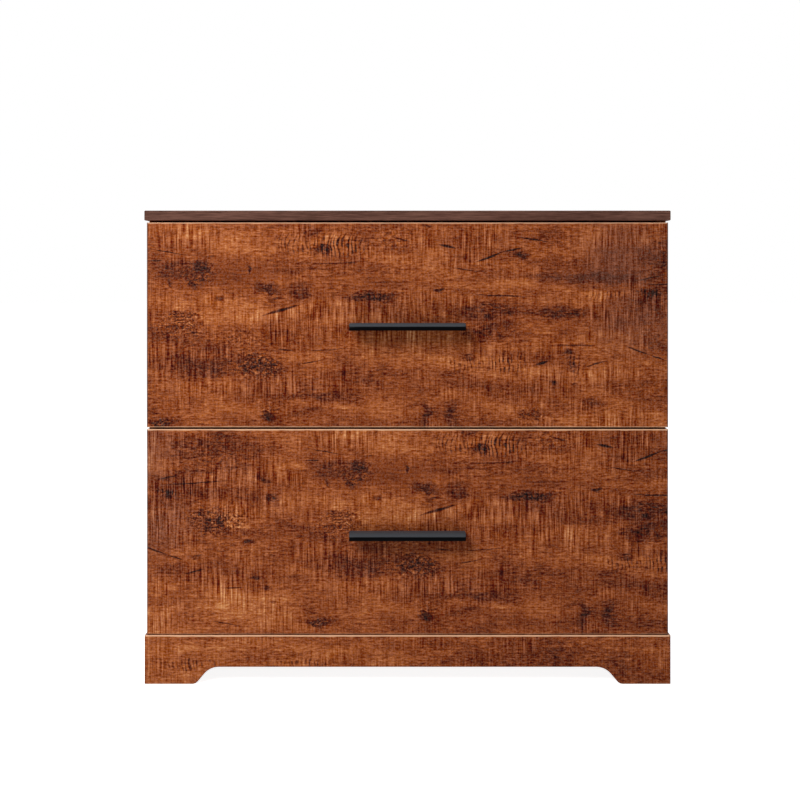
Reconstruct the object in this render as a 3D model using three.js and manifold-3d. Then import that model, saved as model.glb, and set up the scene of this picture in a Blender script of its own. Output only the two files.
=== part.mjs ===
// Two-drawer lateral filing cabinet in wood-print board, with black finger pulls and a scalloped plinth.
// Millimetres, +Z up. The front faces -Y and +X is the viewer's right.
// The origin is on the floor, under the middle of the overall box.
import * as THREE from "three";
import { mergeVertices } from "three/addons/utils/BufferGeometryUtils.js";
import Module from "manifold-3d";

const wasm = await Module();
wasm.setup();

// Driving dimensions of the case
const WIDTH = 800; // top and plinth, side to side
const DEPTH = 400; // top and plinth, front to back
const HEIGHT = 720; // floor to the top's upper face
const BOARD = 15; // chipboard of the case and the drawer fronts
const OVERHANG = 3; // top and plinth beyond the case, on the sides and the front
const ARRIS = 1; // eased edge of a board that is handled
const FIT = 0.3; // gap round a piece that sits in a groove, slot or hole

// Drawer fronts and the gaps round them
const FRONT_HEIGHT = 312;
const FRONT_GAP = 3; // above each drawer front
const PLINTH_GAP = 1; // between the lower front and the plinth
const BUMPER_GAP = 2; // between a drawer front and the case behind it

// Plinth: two feet joined by an arch, with an ogee between foot and arch
const FOOT_LENGTH = 72;
const ARCH_RISE = 26;
const OGEE_RUN = 41;
const OGEE_LOWER_RADIUS = 12;
const OGEE_UPPER_RADIUS = 29;

// Thin boards and the grooves that hold them
const BACK_BOARD = 5;
const BACK_INSET = 10; // back board in from the rear edges
const GROOVE_DEPTH = 6;
const TONGUE = 5.5; // how far a thin board goes into its groove
const RAIL_DEPTH = 70;

// Drawer box
const BOX_BOARD = 12;
const BOX_LENGTH = 345; // behind the drawer front
const BOX_HEIGHT = 245;
const BOX_LIFT = 25; // lower edge of the box above the lower edge of the front
const BOTTOM_BOARD = 6;
const BOTTOM_LIFT = 12; // drawer bottom above the lower edge of the box
const BRACE_WIDTH = 60;

// File rails: flat bars dropped into slots in the drawer sides, spaced for letter-size hanging folders
const FILE_SPAN = 311;
const RAIL_THICK = 3;
const RAIL_SEAT = 14; // depth of the slot
const RAIL_PROUD = 4; // bar above the drawer side

// Finger pull: one extruded section, fixed by two screws from inside the drawer
const PULL_LENGTH = 175;
const PULL_REACH = 30;
const PULL_HEIGHT = 11;
const PULL_WALL = 3;
const PULL_BEND = 3; // bend radius at the middle of the wall
const PULL_DROP = 2; // pull's middle below the middle of the drawer front
const SCREW_SPACING = 160;
const SCREW_RADIUS = 2;
const SCREW_HEAD_RADIUS = 4;
const SCREW_HEAD_HEIGHT = 2.6;
const SCREW_TIP_SHORT = 0.5; // screw end short of the pull's finger side

// Telescopic ball slide: fixed outer member, middle member, inner member on the drawer
const SLIDE_LENGTH = 350;
const SLIDE_HEIGHT = 45;
const SLIDE_SPACE = 13; // between the case side and the drawer side
const SLIDE_LIFT = 100; // slide's centre above the lower edge of the box
const SLIDE_SETBACK = 2; // slide's front end behind the case's front edge
const SLIDE_SHEET = 1.2;
const SLIDE_BEND = 1.8;
const SLIDE_TIP = 9.6; // reach of the outer and middle flanges from the case side
const SLIDE_LIP = 2.7; // length of their turned-in lips
const MIDDLE_SHORT = 5; // middle member short of the slide at each end
const INNER_TIP = 5.8; // where the inner member's flanges start
const CAGE_SHEET = 0.5;
const CAGE_MARGIN = 0.3; // cage beyond its balls
const CAGE_LENGTH = 140;
const CAGE_BEND = 0.8;
const OUTER_BALL = 3.6;
const INNER_BALL = 3;
const OUTER_BALL_U = 6; // place of the outer balls across the slide, from the case side
const INNER_BALL_U = 6.8;
const BALLS_PER_ROW = 5;
const SLIDE_HOLES = [30, 160, 320]; // fixing slots, from the front end
const SLIDE_HOLE_RADIUS = 2.3;
const SLIDE_HOLE_LENGTH = 9;

// Release lever inside the inner member, turning on a rivet
const LEVER_PIVOT = 128; // from the slide's front end
const LEVER_LENGTH = 46;
const LEVER_BOSS = 4.5;
const LEVER_PAD = 3.5;
const LEVER_THICK = 1.9;
const RIVET_RADIUS = 2;
const RIVET_HEAD = 3.4;
const RIVET_HEAD_HEIGHT = 0.7;

const ARC_STEPS = 3;
const ROUND_SIDES = 12;
const BALL_SIDES = 8;
const BALL_RINGS = 4;
const MERGE = 1e-4;

// Derived places, front to back
const FACE_Y = -(DEPTH + PULL_REACH - OVERHANG) / 2 + PULL_REACH; // drawer front's outer face
const EDGE_Y = FACE_Y - OVERHANG; // front edge of the top and the plinth
const REAR_Y = EDGE_Y + DEPTH;
const BOX_Y = FACE_Y + BOARD; // drawer front's inner face, where the box starts
const CASE_Y = BOX_Y + BUMPER_GAP; // front edge of the case
const BACK_Y = REAR_Y - BACK_INSET - BACK_BOARD; // front face of the back board
const BOX_BACK_Y = BOX_Y + BOX_LENGTH - BOX_BOARD; // inner face of the drawer's back
const SLIDE_Y = CASE_Y + SLIDE_SETBACK;

// Derived places, side to side
const CASE_X = WIDTH / 2 - OVERHANG; // outer face of a case side
const INNER_X = CASE_X - BOARD; // inner face of a case side
const BOX_X = INNER_X - SLIDE_SPACE; // outer face of a drawer side
const BOX_INNER_X = BOX_X - BOX_BOARD;

// Derived heights
const TOP_Z = HEIGHT - BOARD; // underside of the top
const UPPER_Z = TOP_Z - FRONT_GAP - FRONT_HEIGHT; // lower edge of the upper drawer front
const LOWER_Z = UPPER_Z - FRONT_GAP - FRONT_HEIGHT;
const PLINTH_Z = LOWER_Z - PLINTH_GAP; // top of the plinth
const BOX_TOP = BOX_LIFT + BOX_HEIGHT; // upper edge of the box, from the lower edge of its front
const PULL_Z = FRONT_HEIGHT / 2 - PULL_DROP; // middle of the pull, from the lower edge of its front

// Materials, in the colours of the photographed cabinet
const material = (color, roughness, metalness = 0) =>
  new THREE.MeshStandardMaterial({ color, roughness, metalness });
const frontPrint = material(0x824528, 0.55);
const topPrint = material(0x66443a, 0.55);
const casePrint = material(0x7a4128, 0.55);
const boxPrint = material(0x5c3524, 0.6);
const hardboard = material(0x6b4a36, 0.75);
const blackMetal = material(0x161617, 0.35, 0.6);
const zincSteel = material(0xb4b6b8, 0.35, 0.9);
const ballSteel = material(0x8e9194, 0.25, 0.9);
const blackPlastic = material(0x1b1b1c, 0.5);

// Solids and shapes

// A closed geometry as a solid that can be cut and joined.
function solidOf(geometry) {
  const bare = geometry.clone();
  bare.deleteAttribute("normal");
  bare.deleteAttribute("uv");
  const merged = mergeVertices(bare, MERGE);
  return new wasm.Manifold(
    new wasm.Mesh({
      numProp: 3,
      vertProperties: new Float32Array(merged.attributes.position.array),
      triVerts: new Uint32Array(merged.index.array),
    }),
  );
}

function geometryOf(solid) {
  const { vertProperties, triVerts } = solid.getMesh();
  return new THREE.BufferGeometry()
    .setAttribute("position", new THREE.BufferAttribute(vertProperties, 3))
    .setIndex(new THREE.BufferAttribute(triVerts, 1));
}

function cut(geometry, ...cutters) {
  return geometryOf(cutters.reduce((left, tool) => left.subtract(solidOf(tool)), solidOf(geometry)));
}

function join(geometry, ...others) {
  return geometryOf(others.reduce((sum, other) => sum.add(solidOf(other)), solidOf(geometry)));
}

function extrude(shape, length, arris = 0) {
  const geometry = new THREE.ExtrudeGeometry(shape, {
    depth: length - 2 * arris,
    bevelEnabled: arris > 0,
    bevelSize: arris,
    bevelThickness: arris,
    bevelOffset: -arris,
    bevelSegments: 1,
    curveSegments: ARC_STEPS,
  });
  return geometry.translate(0, 0, arris);
}

// A shape drawn in (y, z), run along x.
function extrudeX(shape, from, to, arris) {
  const turn = new THREE.Matrix4().makeBasis(
    new THREE.Vector3(0, 1, 0),
    new THREE.Vector3(0, 0, 1),
    new THREE.Vector3(1, 0, 0),
  );
  return extrude(shape, to - from, arris).applyMatrix4(turn).translate(from, 0, 0);
}

// A shape drawn in (x, z) as seen from the front, run from front to back.
function extrudeY(shape, front, back, arris) {
  return extrude(shape, back - front, arris).rotateX(Math.PI / 2).translate(0, back, 0);
}

// A shape drawn in (x, y), run upwards.
function extrudeZ(shape, low, high, arris) {
  return extrude(shape, high - low, arris).translate(0, 0, low);
}

function rectangle([u0, u1], [v0, v1]) {
  const corners = [[u0, v0], [u1, v0], [u1, v1], [u0, v1]];
  return new THREE.Shape(corners.map(([u, v]) => new THREE.Vector2(u, v)));
}

// A flat board between two limits on each axis, with its arrises eased along the edges of its two faces.
function board(x, y, z, arris = 0) {
  const sizes = [x, y, z].map(([low, high]) => high - low);
  const thin = sizes.indexOf(Math.min(...sizes));
  const alongEachAxis = [
    () => extrudeX(rectangle(y, z), ...x, arris),
    () => extrudeY(rectangle(x, z), ...y, arris),
    () => extrudeZ(rectangle(x, y), ...z, arris),
  ];
  return alongEachAxis[thin]();
}

// A rod or a turned pin along an axis: radius and distance pairs, from end to end, revolved.
function turned(profile, axis) {
  const points = profile.map(([radius, along]) => new THREE.Vector2(radius, along));
  const geometry = new THREE.LatheGeometry(points, ROUND_SIDES);
  return axis === "x" ? geometry.rotateZ(-Math.PI / 2) : geometry;
}

function rod(radius, from, to, axis) {
  return turned([[0, from], [radius, from], [radius, to], [0, to]], axis);
}

// The points of a line whose corners are rounded to one radius.
function roundCorners(points, radius) {
  const inner = points.slice(1, -1).flatMap((corner, i) => {
    const back = points[i].clone().sub(corner).normalize();
    const ahead = points[i + 2].clone().sub(corner).normalize();
    const half = back.angleTo(ahead) / 2;
    const reach = radius / Math.tan(half);
    const bisector = back.clone().add(ahead).setLength(radius / Math.sin(half));
    const centre = corner.clone().add(bisector);
    const first = back.multiplyScalar(reach).sub(bisector);
    const last = ahead.multiplyScalar(reach).sub(bisector);
    return Array.from({ length: ARC_STEPS + 1 }, (_, k) =>
      first.clone().lerp(last, k / ARC_STEPS).setLength(radius).add(centre),
    );
  });
  return [points[0], ...inner, points.at(-1)];
}

// Bent sheet of even thickness: the outline of a strip along a centreline with rounded bends.
function bentSheet(corners, thickness, bend) {
  const line = roundCorners(corners.map(([u, v]) => new THREE.Vector2(u, v)), bend);
  const left = (a, b) => new THREE.Vector2(a.y - b.y, b.x - a.x).normalize();
  const offsets = line.map((point, i) => {
    const before = i > 0 ? left(line[i - 1], point) : left(point, line[i + 1]);
    const after = i < line.length - 1 ? left(point, line[i + 1]) : before;
    const mitre = before.clone().add(after).normalize();
    return mitre.multiplyScalar(thickness / 2 / mitre.dot(before));
  });
  const near = line.map((point, i) => point.clone().add(offsets[i]));
  const far = line.map((point, i) => point.clone().sub(offsets[i]));
  return new THREE.Shape([...near, ...far.reverse()]);
}

function mesh(name, geometry, finish) {
  const made = new THREE.Mesh(geometry, finish);
  made.name = name;
  return made;
}

// Case

// Board with a foot at each end, seen from its face: foot, ogee, arch, ogee, foot.
// The ogee is two arcs and the straight line that touches both.
function scallop(start, end, height, startFoot, endFoot) {
  const radii = OGEE_LOWER_RADIUS + OGEE_UPPER_RADIUS;
  const drop = ARCH_RISE - radii;
  const slope = Math.atan2(drop, OGEE_RUN) + Math.asin(radii / Math.hypot(OGEE_RUN, drop));
  const down = -Math.PI / 2;
  const up = Math.PI / 2;
  const upperZ = ARCH_RISE - OGEE_UPPER_RADIUS;
  const startToe = start + startFoot;
  const endToe = end - endFoot;
  const shape = new THREE.Shape();
  shape.moveTo(start, 0);
  shape.lineTo(startToe, 0);
  shape.absarc(startToe, OGEE_LOWER_RADIUS, OGEE_LOWER_RADIUS, down, down + slope, false);
  shape.absarc(startToe + OGEE_RUN, upperZ, OGEE_UPPER_RADIUS, up + slope, up, true);
  shape.absarc(endToe - OGEE_RUN, upperZ, OGEE_UPPER_RADIUS, up, up - slope, true);
  shape.absarc(endToe, OGEE_LOWER_RADIUS, OGEE_LOWER_RADIUS, down - slope, down, false);
  shape.lineTo(end, 0);
  shape.lineTo(end, height);
  shape.lineTo(start, height);
  shape.closePath();
  return shape;
}

// Grooves run all round the rear of the case for the back board.
const backGrooveY = [BACK_Y - FIT, BACK_Y + BACK_BOARD + FIT];

function caseSide(hand) {
  const x = [hand * INNER_X, hand * CASE_X].sort((a, b) => a - b);
  const grooveX = [hand * (INNER_X - 1), hand * (INNER_X + GROOVE_DEPTH)].sort((a, b) => a - b);
  const side = board(x, [CASE_Y, REAR_Y], [PLINTH_Z, TOP_Z]);
  return cut(side, board(grooveX, backGrooveY, [PLINTH_Z + BOARD - GROOVE_DEPTH, TOP_Z + 1]));
}

function cabinetCase() {
  const group = new THREE.Group();
  const across = [-INNER_X, INNER_X];
  const grooveX = [-INNER_X - GROOVE_DEPTH, INNER_X + GROOVE_DEPTH];
  const floorZ = PLINTH_Z + BOARD; // upper face of the case bottom
  const plinthBackY = REAR_Y - BOARD;
  const edge = WIDTH / 2;
  const top = board([-edge, edge], [EDGE_Y, REAR_Y], [TOP_Z, HEIGHT], ARRIS);
  const bottom = board(across, [CASE_Y, REAR_Y], [PLINTH_Z, floorZ]);
  const railZ = UPPER_Z - (FRONT_GAP + BOARD) / 2; // lower face of the rail behind the gap
  const sideFoot = FOOT_LENGTH - BOARD; // the front board's end makes up the rest
  const sideScallop = scallop(EDGE_Y + BOARD, REAR_Y, PLINTH_Z, sideFoot, FOOT_LENGTH);
  const frontScallop = scallop(-edge, edge, PLINTH_Z, FOOT_LENGTH, FOOT_LENGTH);
  group.add(
    mesh("top_panel", cut(top, board(grooveX, backGrooveY, [TOP_Z - 1, TOP_Z + GROOVE_DEPTH])), topPrint),
    mesh("left_side_panel", caseSide(-1), casePrint),
    mesh("right_side_panel", caseSide(1), casePrint),
    mesh(
      "bottom_panel",
      cut(bottom, board([-INNER_X - 1, INNER_X + 1], backGrooveY, [floorZ - GROOVE_DEPTH, floorZ + 1])),
      casePrint,
    ),
    mesh(
      "back_panel",
      board(
        [-INNER_X - TONGUE, INNER_X + TONGUE],
        [BACK_Y, BACK_Y + BACK_BOARD],
        [floorZ - TONGUE, TOP_Z + TONGUE],
      ),
      hardboard,
    ),
    mesh(
      "middle_rail",
      board(across, [CASE_Y, CASE_Y + RAIL_DEPTH], [railZ, railZ + BOARD]),
      casePrint,
    ),
    mesh(
      "rear_top_rail",
      board(across, [BACK_Y - FIT - BOARD, BACK_Y - FIT], [TOP_Z - RAIL_DEPTH, TOP_Z]),
      casePrint,
    ),
    mesh("plinth_front", extrudeY(frontScallop, EDGE_Y, EDGE_Y + BOARD, ARRIS), frontPrint),
    mesh("plinth_left", extrudeX(sideScallop, -edge, -edge + BOARD), frontPrint),
    mesh("plinth_right", extrudeX(sideScallop, edge - BOARD, edge), frontPrint),
    mesh(
      "plinth_back",
      board([-edge + BOARD, edge - BOARD], [plinthBackY, REAR_Y], [ARCH_RISE, PLINTH_Z]),
      casePrint,
    ),
  );
  return group;
}

// Drawers, drawn with z measured from the lower edge of the drawer front

function fingerPull() {
  const half = PULL_WALL / 2;
  const wallY = FACE_Y - half;
  const lipY = FACE_Y - PULL_REACH + half;
  const low = PULL_Z - PULL_HEIGHT / 2;
  const plate = PULL_Z + PULL_HEIGHT / 2 - half;
  const line = [[wallY, low], [wallY, plate], [lipY, plate], [lipY, low]];
  const bar = extrudeX(bentSheet(line, PULL_WALL, PULL_BEND), -PULL_LENGTH / 2, PULL_LENGTH / 2);
  return cut(bar, ...screwPlaces(() => screwHole(FACE_Y - PULL_WALL - 1, FACE_Y + 1)));
}

// What make gives, once at each of the pull's two screws.
function screwPlaces(make) {
  return [-1, 1].map((hand) => make().translate(hand * SCREW_SPACING / 2, 0, PULL_Z));
}

function screwHole(from, to) {
  return rod(SCREW_RADIUS + FIT, from, to, "y");
}

// Pan-head screw: the head bears on the drawer front's inner face, the shank runs forwards into the pull.
function pullScrew() {
  const tip = FACE_Y - PULL_WALL + SCREW_TIP_SHORT;
  const crown = BOX_Y + SCREW_HEAD_HEIGHT;
  return turned(
    [
      [0, tip],
      [SCREW_RADIUS, tip],
      [SCREW_RADIUS, BOX_Y],
      [SCREW_HEAD_RADIUS, BOX_Y],
      [SCREW_HEAD_RADIUS, BOX_Y + SCREW_HEAD_HEIGHT / 2],
      [SCREW_HEAD_RADIUS / 2, crown],
      [0, crown],
    ],
    "y",
  );
}

// The groove for the drawer bottom, cut into whatever the given limits cross.
function bottomGroove(x, y) {
  const low = BOX_LIFT + BOTTOM_LIFT;
  return board(x, y, [low - FIT, low + BOTTOM_BOARD + FIT]);
}

function drawerFront() {
  const face = board([-CASE_X, CASE_X], [FACE_Y, BOX_Y], [0, FRONT_HEIGHT], ARRIS);
  const grooveX = [-BOX_INNER_X - GROOVE_DEPTH, BOX_INNER_X + GROOVE_DEPTH];
  return cut(
    face,
    bottomGroove(grooveX, [BOX_Y - GROOVE_DEPTH, BOX_Y + 1]),
    ...screwPlaces(() => screwHole(FACE_Y - 1, BOX_Y + 1)),
  );
}

// Middle of the front and the rear file rail, equally far from the box's two ends.
const fileRailMargin = (BOX_BACK_Y - BOX_Y - FILE_SPAN) / 2;
const fileRailPlaces = { front: BOX_Y + fileRailMargin, rear: BOX_BACK_Y - fileRailMargin };

function drawerSide(hand) {
  const x = [hand * BOX_INNER_X, hand * BOX_X].sort((a, b) => a - b);
  const grooveX = [hand * (BOX_INNER_X - 1), hand * (BOX_INNER_X + GROOVE_DEPTH)].sort((a, b) => a - b);
  const side = board(x, [BOX_Y, BOX_Y + BOX_LENGTH], [BOX_LIFT, BOX_TOP]);
  const slots = Object.values(fileRailPlaces).map((y) => {
    const half = RAIL_THICK / 2 + FIT;
    return board([x[0] - 1, x[1] + 1], [y - half, y + half], [BOX_TOP - RAIL_SEAT, BOX_TOP + 1]);
  });
  const groove = bottomGroove(grooveX, [BOX_Y - 1, BOX_BACK_Y + GROOVE_DEPTH]);
  return cut(side, groove, ...slots);
}

function drawerBack() {
  const across = [-BOX_INNER_X, BOX_INNER_X];
  const back = board(across, [BOX_BACK_Y, BOX_Y + BOX_LENGTH], [BOX_LIFT, BOX_TOP]);
  const grooveX = [-BOX_INNER_X - 1, BOX_INNER_X + 1];
  return cut(back, bottomGroove(grooveX, [BOX_BACK_Y - 1, BOX_BACK_Y + GROOVE_DEPTH]));
}

function drawer(level, height) {
  const group = new THREE.Group();
  group.position.z = height;
  const name = (piece) => `${level}_drawer_${piece}`;
  const bottomZ = BOX_LIFT + BOTTOM_LIFT;
  const bottomX = BOX_INNER_X + TONGUE;
  group.add(
    mesh(name("front"), drawerFront(), frontPrint),
    mesh(name("left_side"), drawerSide(-1), boxPrint),
    mesh(name("right_side"), drawerSide(1), boxPrint),
    mesh(name("back"), drawerBack(), boxPrint),
    mesh(
      name("bottom"),
      board([-bottomX, bottomX], [BOX_Y - TONGUE, BOX_BACK_Y + TONGUE], [bottomZ, bottomZ + BOTTOM_BOARD]),
      hardboard,
    ),
    mesh(
      name("bottom_brace"),
      board([-BRACE_WIDTH / 2, BRACE_WIDTH / 2], [BOX_Y, BOX_BACK_Y], [BOX_LIFT, bottomZ]),
      boxPrint,
    ),
    mesh(name("pull"), fingerPull(), blackMetal),
  );
  const screws = screwPlaces(pullScrew);
  group.add(
    mesh(name("pull_left_screw"), screws[0], zincSteel),
    mesh(name("pull_right_screw"), screws[1], zincSteel),
  );
  for (const [end, y] of Object.entries(fileRailPlaces)) {
    const bar = board(
      [-BOX_X + FIT, BOX_X - FIT],
      [y - RAIL_THICK / 2, y + RAIL_THICK / 2],
      [BOX_TOP - RAIL_SEAT, BOX_TOP + RAIL_PROUD],
    );
    group.add(mesh(name(`${end}_file_rail`), bar, blackMetal));
  }
  return group;
}

// Slides, drawn in (u, v): u from the case side towards the drawer, v up from the slide's centre

// Places across the slide, working in from the case side: web, cage, web, cage.
const outerWeb = FIT + SLIDE_SHEET / 2;
const outerCageWeb = outerWeb + SLIDE_SHEET / 2 + FIT + CAGE_SHEET / 2;
const middleWeb = outerCageWeb + CAGE_SHEET / 2 + FIT + SLIDE_SHEET / 2;
const innerCageWeb = middleWeb + SLIDE_SHEET / 2 + FIT + CAGE_SHEET / 2;
const innerWeb = SLIDE_SPACE - FIT - SLIDE_SHEET / 2;

// Heights of the flanges and the balls between them, working in from the slide's edge.
const outerFlange = SLIDE_HEIGHT / 2 - SLIDE_SHEET / 2;
const outerBallV = outerFlange - SLIDE_SHEET / 2 - FIT - OUTER_BALL / 2;
const middleFlange = outerBallV - OUTER_BALL / 2 - FIT - SLIDE_SHEET / 2;
const innerBallV = middleFlange - SLIDE_SHEET / 2 - FIT - INNER_BALL / 2;
const innerFlange = innerBallV - INNER_BALL / 2 - FIT - SLIDE_SHEET / 2;

// Centreline of a channel: web, two flanges and, where lip is given, lips turned in.
function channel(web, flange, tip, lip = 0) {
  const half = [[web, flange], [tip, flange]];
  if (lip) half.push([tip, flange - lip]);
  const lower = half.map(([u, v]) => [u, -v]);
  return [...half.reverse(), ...lower];
}

// A channel on the case side named by hand, -1 left or 1 right, with x measured from that side.
function channelBar(hand, line, sheet, bend, front, back) {
  const turnedToHand = line.map(([u, v]) => [-hand * u, v]);
  return extrudeY(bentSheet(turnedToHand, sheet, bend), front, back);
}

// Upright pieces across a web at distance u: slots for the fixing screws.
function webSlots(hand, u) {
  const half = SLIDE_HOLE_LENGTH / 2 - SLIDE_HOLE_RADIUS;
  return SLIDE_HOLES.map((y) => {
    const slot = new THREE.Shape();
    slot.absarc(y + half, 0, SLIDE_HOLE_RADIUS, -Math.PI / 2, Math.PI / 2, false);
    slot.absarc(y - half, 0, SLIDE_HOLE_RADIUS, Math.PI / 2, (3 * Math.PI) / 2, false);
    return extrudeX(slot, -hand * u - SLIDE_SHEET, -hand * u + SLIDE_SHEET);
  });
}

// Cage: a light channel with a row of balls held in each flange.
function ballCage(hand, web, ballU, ballV, ballSize) {
  const front = (SLIDE_LENGTH - CAGE_LENGTH) / 2;
  const line = channel(web, ballV, ballU + ballSize / 2 + CAGE_MARGIN);
  const strip = channelBar(hand, line, CAGE_SHEET, CAGE_BEND, front, front + CAGE_LENGTH);
  const pitch = CAGE_LENGTH / BALLS_PER_ROW;
  const balls = [-ballV, ballV].flatMap((v) =>
    Array.from({ length: BALLS_PER_ROW }, (_, i) =>
      new THREE.SphereGeometry(ballSize / 2, BALL_SIDES, BALL_RINGS)
        .rotateX(Math.PI / 2)
        .translate(-hand * ballU, front + (i + 0.5) * pitch, v),
    ),
  );
  return join(strip, ...balls);
}

// Rivet that the release lever turns on, from inside the web to its head.
function leverRivet(hand) {
  const root = innerWeb;
  const shoulder = innerWeb - SLIDE_SHEET / 2 - LEVER_THICK - 2 * FIT;
  const crown = shoulder - RIVET_HEAD_HEIGHT;
  const profile = [
    [0, root],
    [RIVET_RADIUS, root],
    [RIVET_RADIUS, shoulder],
    [RIVET_HEAD, shoulder],
    [RIVET_HEAD, crown],
    [0, crown],
  ];
  const alongX = profile.map(([radius, u]) => [radius, -hand * u]);
  return turned(hand > 0 ? alongX : alongX.reverse(), "x").translate(0, LEVER_PIVOT, 0);
}

// Flat lever: a boss round the rivet, an arm running forwards and a finger pad.
function releaseLever(hand) {
  const outline = new THREE.Shape();
  const open = (2 * Math.PI) / 3;
  outline.absarc(LEVER_PIVOT, 0, LEVER_BOSS, -open, open, false);
  outline.absarc(LEVER_PIVOT - LEVER_LENGTH, 0, LEVER_PAD, Math.PI / 2, (3 * Math.PI) / 2, false);
  outline.holes.push(new THREE.Path().absarc(LEVER_PIVOT, 0, RIVET_RADIUS + FIT, 0, 2 * Math.PI, true));
  const outer = innerWeb - SLIDE_SHEET / 2 - FIT;
  const x = [-hand * outer, -hand * (outer - LEVER_THICK)].sort((a, b) => a - b);
  return extrudeX(outline, ...x);
}

function slide(level, hand, height) {
  const group = new THREE.Group();
  group.position.set(hand * INNER_X, SLIDE_Y, height + BOX_LIFT + SLIDE_LIFT);
  const name = (piece) => `${level}_${hand < 0 ? "left" : "right"}_slide_${piece}`;
  const member = (line, front, back) => channelBar(hand, line, SLIDE_SHEET, SLIDE_BEND, front, back);
  const outer = member(channel(outerWeb, outerFlange, SLIDE_TIP, SLIDE_LIP), 0, SLIDE_LENGTH);
  const middle = member(
    channel(middleWeb, middleFlange, SLIDE_TIP, SLIDE_LIP),
    MIDDLE_SHORT,
    SLIDE_LENGTH - MIDDLE_SHORT,
  );
  const inner = member(channel(innerWeb, innerFlange, INNER_TIP), 0, SLIDE_LENGTH);
  const outerCage = ballCage(hand, outerCageWeb, OUTER_BALL_U, outerBallV, OUTER_BALL);
  const innerCage = ballCage(hand, innerCageWeb, INNER_BALL_U, innerBallV, INNER_BALL);
  group.add(
    mesh(name("outer_member"), cut(outer, ...webSlots(hand, outerWeb)), zincSteel),
    mesh(name("outer_ball_cage"), outerCage, ballSteel),
    mesh(name("middle_member"), middle, zincSteel),
    mesh(name("inner_ball_cage"), innerCage, ballSteel),
    mesh(name("inner_member"), join(cut(inner, ...webSlots(hand, innerWeb)), leverRivet(hand)), zincSteel),
    mesh(name("release_lever"), releaseLever(hand), blackPlastic),
  );
  return group;
}

const cabinet = new THREE.Group();
cabinet.add(cabinetCase());
for (const [level, height] of [["upper", UPPER_Z], ["lower", LOWER_Z]]) {
  cabinet.add(drawer(level, height), slide(level, -1, height), slide(level, 1, height));
}

export default cabinet;
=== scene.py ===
"""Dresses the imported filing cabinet: sawn-wood print boards, black pulls, zinc slides and small fittings."""

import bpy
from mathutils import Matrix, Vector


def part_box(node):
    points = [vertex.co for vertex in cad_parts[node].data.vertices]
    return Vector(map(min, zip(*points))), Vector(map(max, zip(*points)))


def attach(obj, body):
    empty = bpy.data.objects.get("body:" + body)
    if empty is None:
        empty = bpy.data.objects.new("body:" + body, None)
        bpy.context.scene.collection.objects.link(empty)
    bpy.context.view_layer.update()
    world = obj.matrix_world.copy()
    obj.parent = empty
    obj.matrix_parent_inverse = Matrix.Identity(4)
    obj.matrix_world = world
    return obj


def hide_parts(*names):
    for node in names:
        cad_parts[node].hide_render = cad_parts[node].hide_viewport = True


bl_info = {
    "name": "Lateral Filing Cabinet",
    "version": (1, 0, 0),
    "blender": (4, 5, 0),
    "location": "View3D > Sidebar > Cabinet",
    "description": "Finishes, pulls and fittings of a two-drawer lateral filing cabinet",
    "category": "Object",
}

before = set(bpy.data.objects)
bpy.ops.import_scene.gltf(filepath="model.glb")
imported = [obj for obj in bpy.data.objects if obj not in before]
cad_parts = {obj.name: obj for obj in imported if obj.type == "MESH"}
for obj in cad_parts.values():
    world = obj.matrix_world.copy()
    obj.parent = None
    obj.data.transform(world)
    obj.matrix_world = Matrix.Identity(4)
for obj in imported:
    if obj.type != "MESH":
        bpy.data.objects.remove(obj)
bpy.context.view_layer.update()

import math

import bpy
import numpy as np
from bpy.props import FloatProperty, FloatVectorProperty, PointerProperty
from bpy.types import Operator, Panel, PropertyGroup, Scene
from mathutils import Vector

MM = 0.001
LEVELS = ("upper", "lower")
HANDS = {"left": -1, "right": 1}

# The sheet of print, in millimetres from the middle of the upper drawer front: u to the right, v up.
# It repeats along u. The lower front is cut from the same sheet, further along.
PRINT_START = -396
PRINT_PERIOD = 975
LOWER_CUT = (-240, -11)
TOP_CUT = (130, 420)
PLINTH_CUT = (-150, 260)
SIDE_CUT = (330, -610)
RAIL_CUT = (60, 800)

# Painted light: how much lighter in tone a front's left end is than its middle, that far from the middle in
# millimetres, as if more light fell on the left
FRONT_PAINTED_LIGHT = {"upper": 0.0, "lower": 0.065}
PAINTED_LIGHT_REACH = 400

# Tone of the print before anything lifts or lowers it, and how far the greyer patches go to grey
MIDDLE_TONE = 0.515
GREY_CAST = 0.38

# Noise on faces that look sideways or up starts this much further on, so that it isn't the front's
FACE_SHIFT = 37

# A face looks sideways or up when its normal goes that way by more than this
FACE_LEAN = 0.75

# How strongly the bare edge line, partly a painted highlight, shows along a board's top and bottom, and the
# dark line at its ends
FRONT_LINES = {"upper": (0.7, 0.55, 0.6), "lower": (0.95, 0.25, 0.5)}
PLINTH_LINES = (0.9, 0.25, 0.5)

# Those lines: their width, the multiple of it at which they have faded out, and how far back they reach
ARRIS_WIDTH = 1.2 * MM
ARRIS_FADE = 1.6
ARRIS_DEPTH = 2.5 * MM

# Share of a plain varnish's gloss on the print, on coated metal and plastic, and on the pulls
PRINT_GLOSS = 0.05
COAT_GLOSS = 0.06
PULL_GLOSS = 0.02

# A painted highlight on the pulls begins and is full where the upward part of the normal has these values
HIGHLIGHT_START = 0.36
HIGHLIGHT_FULL = 0.54

# A slide's inner member: its wall, and its fixing slots from its front end
SLIDE_WALL = 1.2 * MM
SLIDE_SLOTS = (30 * MM, 160 * MM, 320 * MM)

# Cams from a drawer side's front end and from its upper and lower edge
CAM_FROM_FRONT = 24 * MM
CAM_FROM_EDGE = 42 * MM

# Bumpers from a drawer front's ends and from its upper and lower edge
BUMPER_FROM_END = 7.5 * MM
BUMPER_FROM_EDGE = 30 * MM

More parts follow.
